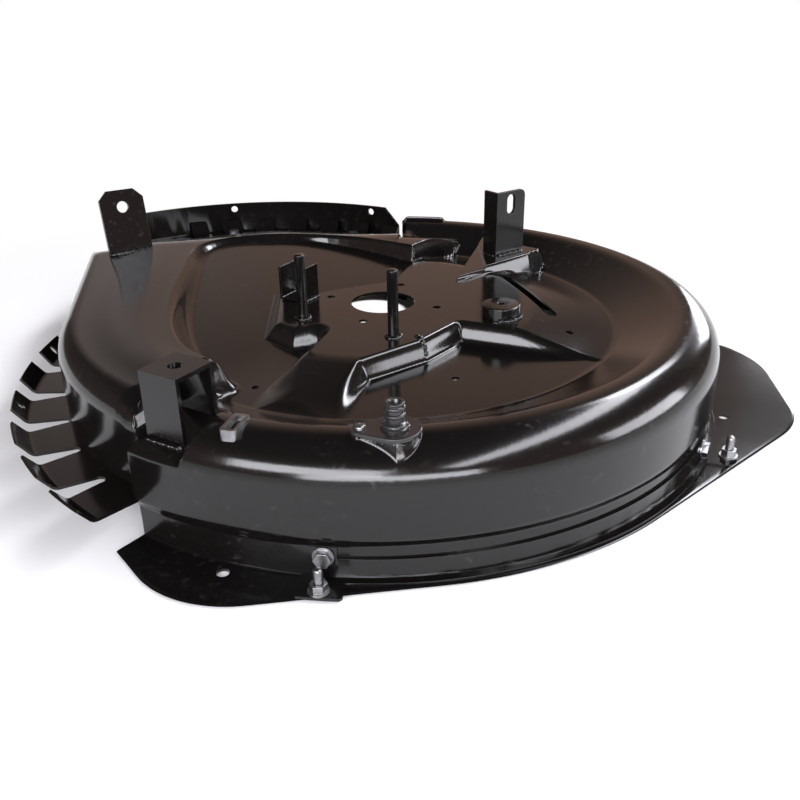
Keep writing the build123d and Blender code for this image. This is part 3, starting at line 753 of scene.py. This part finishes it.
def bead(points, radius):
    """Weld bead along a path: a tube with a rippled back that narrows at both ends."""
    path = np.array(points, float)
    reach = np.concatenate([[0], np.cumsum(np.linalg.norm(np.diff(path, axis=0), axis=1))])
    total = reach[-1]

    def middle(s):
        return np.stack([np.interp(s, reach, path[:, k]) for k in range(3)], -1)

    def place(deg, s):
        way = middle(np.minimum(s + 1.5, total)) - middle(np.maximum(s - 1.5, 0))
        way = way / np.linalg.norm(way, axis=-1, keepdims=True)
        side = np.cross(way, np.array([0.0, 0.0, 1.0]))
        side = side / np.linalg.norm(side, axis=-1, keepdims=True)
        up = np.cross(side, way)
        ripple = 1 + 0.17 * np.sin(s * 1.9) + 0.18 * np.sin(s * 0.71 + 1.0)
        narrow = np.sqrt(np.clip(np.minimum(s, total - s) / radius, 0.02, 1))
        a = np.radians(deg)[:, None]
        r = (radius * ripple * narrow)[:, None]
        return middle(s) + r * (np.cos(a) * side + 0.8 * np.sin(a) * up), np.zeros((len(deg), 3))

    rows = np.linspace(0, total, max(8, int(total / 0.7)))
    bm = wrapped_grid(np.arange(0, 361, 30.0), rows, place)
    bmesh.ops.remove_doubles(bm, verts=bm.verts, dist=CLOSE)
    bmesh.ops.recalc_face_normals(bm, faces=bm.faces)
    return bm


def ring_bead(centre, r, z, first, last, radius):
    """Weld bead along part of a circle, between two azimuths."""
    return bead([(*spot(r, a, centre), z) for a in np.linspace(first, last, 24)], radius)


def on_pan(x, y):
    """Place on the floor or star of the pan."""
    return (x, y, float(pan_height(np.array([float(x)]), np.array([float(y)]), np.array([HOOD_Z]))[0]))


def weld_beads():
    """Painted welds at the feet of the brackets, pins and boss."""
    seat = HOOD_Z + 2.2
    axis = (0.0, 0.0)
    parts = [
        # hanger tab
        bead([along(TAB, TAB_AZ, u, -4.8, seat) for u in (-27, -9, 9, 27)], 4.2),
        bead([along(TAB, TAB_AZ, u, 4.2, seat) for u in (-26, 26)], 2.6),
        # slotted angle
        bead([along(ANGLE, ANGLE_AZ, u, -1.2, ANGLE_FOOT_Z) for u in (3, 44)], 2.4),
        bead([along(ANGLE, ANGLE_AZ, -1.0, v, ANGLE_FOOT_Z) for v in (2, 22)], 2.2),
        # box bracket
        bead([along(axis, BOX_AZ, 339.0, v, -16.8) for v in (-20, 20)], 2.8),
        bead([along(axis, BOX_AZ, u, 21.5, -4.0 - (u - BOX_SEAT_R) * BOX_SEAT_FALL) for u in (292, 299)], 2.6),
        bead([along(axis, BOX_AZ, 292.0, v, -2.6) for v in (-18, 18)], 2.4),
        # belt pins and idler boss
        ring_bead(RIGHT_PIN, PIN_R + 1.4, 0.6, 150, 420, 2.2),
        ring_bead(LEFT_PIN, PIN_R + 1.4, 0.6, 170, 450, 2.3),
        ring_bead(IDLER, IDLER_R + 0.6, 0.6, -105, -5, 2.4),
        # dent in the near arm, belt keeper and end of the slot
        bead([on_pan(x, y) for x, y in ((34, -102), (37.5, -108), (40.5, -113.5), (44, -119.5))], 3.0),
        bead([along((-94.0, 20.0), 60.0, u, -16.6, 0.8) for u in (-14, 14)], 1.8),
        bead([(180.5, -36.0, -18.5), (184.0, -43.0, -18.5)], 3.4),
    ]
    finished("weld_beads", joined(parts), "deck_paint", None)


# Finishes

class Wire:
    """A socket that takes part in sums."""

    def __init__(self, tree, socket):
        self.tree = tree
        self.socket = socket

    def node(self, kind, settings=None, **inputs):
        """New node with its settings; inputs go by name, or by number as i0, i1 and so on."""
        made = self.tree.nodes.new(kind)
        for key, value in (settings or {}).items():
            setattr(made, key, value)
        for key, value in inputs.items():
            numbered = key[0] == "i" and key[1:].isdigit()
            socket = made.inputs[int(key[1:]) if numbered else key.replace("_", " ")]
            if isinstance(value, Wire):
                self.tree.links.new(value.socket, socket)
            else:
                socket.default_value = value
        return made

    def wire(self, socket):
        return Wire(self.tree, socket)

    def _sum(self, operation, a, b):
        made = self.node("ShaderNodeMath", {"operation": operation}, i0=a, i1=b)
        return self.wire(made.outputs[0])

    def __add__(self, other):
        return self._sum("ADD", self, other)

    __radd__ = __add__

    def __mul__(self, other):
        return self._sum("MULTIPLY", self, other)

    __rmul__ = __mul__

    def __sub__(self, other):
        return self._sum("SUBTRACT", self, other)

    def __rsub__(self, other):
        return self._sum("SUBTRACT", other, self)

    def above(self, low, high):
        """0 below low, 1 above high."""
        made = self.node("ShaderNodeMapRange", {"clamp": True}, Value=self, From_Min=low, From_Max=high)
        return self.wire(made.outputs[0])


def fresh(name):
    """New material with its shader and the place on the object, in metres."""
    material = bpy.data.materials.new(name)
    material.use_nodes = True
    tree = material.node_tree
    shader = tree.nodes["Principled BSDF"]
    start = Wire(tree, None)
    place = start.wire(start.node("ShaderNodeTexCoord").outputs["Object"])
    return material, shader, place


def link(place, value, socket):
    place.tree.links.new(value.socket, socket)


def noise(place, scale, detail):
    made = place.node(
        "ShaderNodeTexNoise", {"noise_dimensions": "3D"}, Vector=place, Scale=scale, Detail=detail, Roughness=0.55
    )
    return place.wire(made.outputs["Fac"])


def blend(place, factor, a, b):
    made = place.node("ShaderNodeMix", {"data_type": "RGBA"}, i0=factor, i6=a, i7=b)
    return place.wire(made.outputs[2])


def bump(place, height, distance):
    made = place.node("ShaderNodeBump", None, Height=height, Distance=distance, Strength=1.0)
    return place.wire(made.outputs["Normal"])


def deck_paint():
    """Gloss black powder coat with a fine skin, faint dust and dull patches."""
    material, shader, place = fresh("deck_paint")
    cloud = noise(place, 9.0, 4.0)
    dust = noise(place, 130.0, 2.0).above(0.60, 0.78) * cloud.above(0.42, 0.62)
    black, dusty = (0.0036, 0.0031, 0.0029, 1), (0.035, 0.031, 0.029, 1)
    link(place, blend(place, dust * 0.5, black, dusty), shader.inputs["Base Color"])
    link(place, 0.115 + cloud * 0.06 + dust * 0.12, shader.inputs["Roughness"])
    skin = noise(place, 420.0, 2.0) * 0.5 + noise(place, 70.0, 2.0)
    link(place, bump(place, skin, 0.00006), shader.inputs["Normal"])
    shader.inputs["Specular IOR Level"].default_value = 0.45
    return material


def zinc():
    """Bright zinc plate, a little brushed and stained."""
    material, shader, place = fresh("zinc_steel")
    stain = noise(place, 60.0, 4.0)
    fine = noise(place, 700.0, 2.0)
    bright, stained = (0.34, 0.34, 0.35, 1), (0.17, 0.165, 0.16, 1)
    link(place, blend(place, stain.above(0.35, 0.7), bright, stained), shader.inputs["Base Color"])
    link(place, 0.24 + stain * 0.2, shader.inputs["Roughness"])
    link(place, bump(place, fine, 0.00008), shader.inputs["Normal"])
    shader.inputs["Metallic"].default_value = 1.0
    return material


def port_plastic():
    """Black moulded plastic with a fine grain."""
    material, shader, place = fresh("port_plastic")
    cloud = noise(place, 40.0, 3.0)
    dark, worn = (0.012, 0.012, 0.013, 1), (0.022, 0.021, 0.021, 1)
    link(place, blend(place, cloud, dark, worn), shader.inputs["Base Color"])
    link(place, 0.13 + cloud * 0.1, shader.inputs["Roughness"])
    link(place, bump(place, noise(place, 900.0, 2.0), 0.00006), shader.inputs["Normal"])
    return material


FINISHES = {"deck_paint": deck_paint(), "zinc_steel": zinc(), "port_plastic": port_plastic()}


# Stage, camera and light; places and sizes are in metres

# Centre of the glowing patch of painted light on the floor below the bore, where the deck's shadow falls
BELOW_BORE = (-0.022, 0.272, RIM_Z * MM)
PAPER_HALF = 60.0
PAPER_GAP = 0.0002
SENSOR = 36.0
FRAME_PX = 800.0
FOCAL_PX = 878.460
EYE = (17.036, -922.693, 326.888)
YAW, PITCH, ROLL = -0.000164, 0.452044, -0.017574
COOL_WHITE = (0.93, 0.94, 1.0)
LAMPS = (  # name, place, target, size and brightness
    ("long_ceiling_box", (2.3, -1.2, 3.0), (0, -1.2, 0), (9.6, 0.66), 10),
    ("far_right_box", (1.5, 2.05, 1.8), (0, 0, 0), (0.45, 0.8), 8),
    ("far_right_low_box", (1.95, 2.4, 0.52), (0.2, 0, 0), (0.9, 0.66), 10),
    ("near_left_box", (-1.05, -2.62, 1.07), (0.15, -0.1, 0), (2.4, 0.8), 11),
    ("near_low_box", (0.1, -3.2, 0.48), (0.0, -0.3, 0), (3.0, 0.6), 11),
    ("right_box", (2.95, -0.25, 0.6), (0, -0.1, 0), (1.9, 0.8), 8),
)
NEAR_ROOM, FAR_ROOM, CEILING = (0.28, 0.19, 0.16, 1), (0.47, 0.31, 0.245, 1), (0.05, 0.045, 0.045, 1)
ROOM_SIDES = (  # where each tint of the far room starts and is full, by the x of the direction
    (0.20, 0.42, (0.10, 0.075, 0.065, 1)),
    (-0.08, -0.28, (0.46, 0.38, 0.36, 1)),
    (-0.36, -0.56, (0.10, 0.08, 0.07, 1)),
)


def floor_white():
    """White paper that takes the deck's shadow, and is plain white farther out; below the bore it glows, a
    painted light that takes away the deck's shadow there.
    """
    material, shader, place = fresh("floor_white")
    shader.inputs["Base Color"].default_value = (0.9, 0.9, 0.9, 1)
    shader.inputs["Roughness"].default_value = 0.9
    shader.inputs["Specular IOR Level"].default_value = 0.0
    far = place.wire(place.node("ShaderNodeVectorMath", {"operation": "LENGTH"}, i0=place).outputs["Value"])
    below = place.node("ShaderNodeVectorMath", {"operation": "DISTANCE"}, i0=place, i1=BELOW_BORE)
    # Painted light: a glowing patch on the floor below the bore, where the deck's shadow falls
    clear = 1.0 - place.wire(below.outputs["Value"]).above(0.046, 0.052)
    path = place.node("ShaderNodeLightPath")
    seen = place.wire(path.outputs["Is Camera Ray"]) + place.wire(path.outputs["Is Glossy Ray"])
    seen = seen + place.wire(path.outputs["Is Transmission Ray"])
    paper = place.wire(shader.outputs[0])
    glow = place.wire(place.node("ShaderNodeEmission").outputs[0])
    mixed = place.node("ShaderNodeMixShader", None, i0=(far.above(0.55, 1.0) + clear) * seen, i1=paper, i2=glow)
    link(place, place.wire(mixed.outputs[0]), place.tree.nodes["Material Output"].inputs["Surface"])
    return material


def paper_floor():
    """Wide sheet of paper just below the rim."""
    bm = bmesh.new()
    bmesh.ops.create_grid(bm, x_segments=1, y_segments=1, size=PAPER_HALF)
    bmesh.ops.translate(bm, verts=bm.verts, vec=(0, 0, (RIM_Z - SHEET) * MM - PAPER_GAP))
    mesh = bpy.data.meshes.new("floor")
    bm.to_mesh(mesh)
    bm.free()
    floor = bpy.data.objects.new("floor", mesh)
    bpy.context.scene.collection.objects.link(floor)
    floor.data.materials.append(floor_white())


def photo_camera():
    """Camera at the photograph's place, as fitted to the circles of the pan."""
    lens = bpy.data.cameras.new("camera")
    lens.sensor_fit = "HORIZONTAL"
    lens.sensor_width = SENSOR
    lens.lens = SENSOR * FOCAL_PX / FRAME_PX
    lens.clip_end = 200.0
    camera = bpy.data.objects.new("camera", lens)
    ahead = Vector((math.sin(YAW) * math.cos(PITCH), math.cos(YAW) * math.cos(PITCH), -math.sin(PITCH)))
    right = Vector((math.cos(YAW), -math.sin(YAW), 0))
    up = right.cross(ahead)
    sideways = right * math.cos(ROLL) + up * math.sin(ROLL)
    upright = up * math.cos(ROLL) - right * math.sin(ROLL)
    matrix = Matrix((sideways, upright, -ahead)).transposed().to_4x4()
    matrix.translation = Vector(EYE) * MM
    camera.matrix_world = matrix
    bpy.context.scene.collection.objects.link(camera)
    bpy.context.scene.camera = camera


def soft_box(name, place, target, size, radiance):
    """Rectangular lamp; its power follows from its size and its brightness."""
    light = bpy.data.lights.new(name, "AREA")
    light.shape = "RECTANGLE"
    light.size, light.size_y = size
    light.energy = 4 * radiance * size[0] * size[1]
    light.color = COOL_WHITE
    lamp = bpy.data.objects.new(name, light)
    lamp.location = place
    lamp.rotation_euler = (Vector(target) - Vector(place)).to_track_quat("-Z", "Y").to_euler()
    bpy.context.scene.collection.objects.link(lamp)


def studio():
    """Dim warm room that is lighter beyond the deck and darker at its sides and above, with soft boxes."""
    world = bpy.data.worlds.new("studio")
    bpy.context.scene.world = world
    world.use_nodes = True
    tree = world.node_tree
    start = Wire(tree, None)
    way = start.node("ShaderNodeTexCoord").outputs["Generated"]
    parts = start.node("ShaderNodeSeparateXYZ", None, Vector=start.wire(way))
    across, away, up = (start.wire(parts.outputs[axis]) for axis in "XYZ")
    far = away.above(-0.7, 0.7)
    room = blend(start, far, NEAR_ROOM, FAR_ROOM)
    for begin, full, tint in ROOM_SIDES:
        room = blend(start, across.above(begin, full) * far, room, tint)
    colour = blend(start, up.above(0.40, 0.80), room, CEILING)
    tree.links.new(colour.socket, tree.nodes["Background"].inputs["Color"])
    for lamp in LAMPS:
        soft_box(*lamp)


def dress_nodes():
    """Gives every node of the part the finish of its slot."""
    for row in frame["record"]["subparts"]:
        node = bpy.data.objects.get(row["node"])
        node.data.materials.clear()
        node.data.materials.append(FINISHES[row["material_slot"]])


paper_floor()
photo_camera()
studio()
pan_skin("pan_floor_skin", 0, SEAM_ROW)
pan_skin("pan_wall_skin", SEAM_ROW, LAST_ROW)
pan_lining("pan_floor_lining", 0, SEAM_ROW)
pan_lining("pan_wall_lining", SEAM_ROW, LAST_ROW)
rim_flange()
comb_sheet(
    "rear_comb", (57.0, 6.5), root_r=380.0, fold_r=437.0, level=REAR_COMB_Z, slot_depth=34.0,
    start_az=172.3, pitch=9.65, count=6, eyes=(0, 2),
)
comb_sheet(
    "side_comb", MOUTH, root_r=MOUTH_R - 6.0, fold_r=320.0, level=SIDE_COMB_Z, slot_depth=40.0,
    start_az=51.0, pitch=9.2, count=7, eyes=(),
)
for node, slot_name, edge_width in (
    ("hanger_tab", "deck_paint", 0.9),
    ("slotted_angle", "deck_paint", 0.9),
    ("box_bracket", "deck_paint", 1.4),
    ("belt_keeper", "deck_paint", 0.7),
    ("discharge_guard", "deck_paint", 0.7),
    ("rim_stiffener", "deck_paint", 0.7),
    ("idler_boss", "deck_paint", 0.8),
    ("right_belt_pin", "deck_paint", 0.6),
    ("left_belt_pin", "deck_paint", 0.6),
    ("skirt_bolts", "zinc_steel", 0.5),
    ("wing_stud_nuts", "zinc_steel", 0.5),
    ("spring_lug", "zinc_steel", 0.6),
):
    softened(node, slot_name, edge_width)
threads("wing_stud_threads", "wing_studs", STUDS, *STUD_ENDS_Z, STUD_R)
hose_port()
weld_beads()
dress_nodes()

bpy.context.scene.view_settings.view_transform = "Standard"
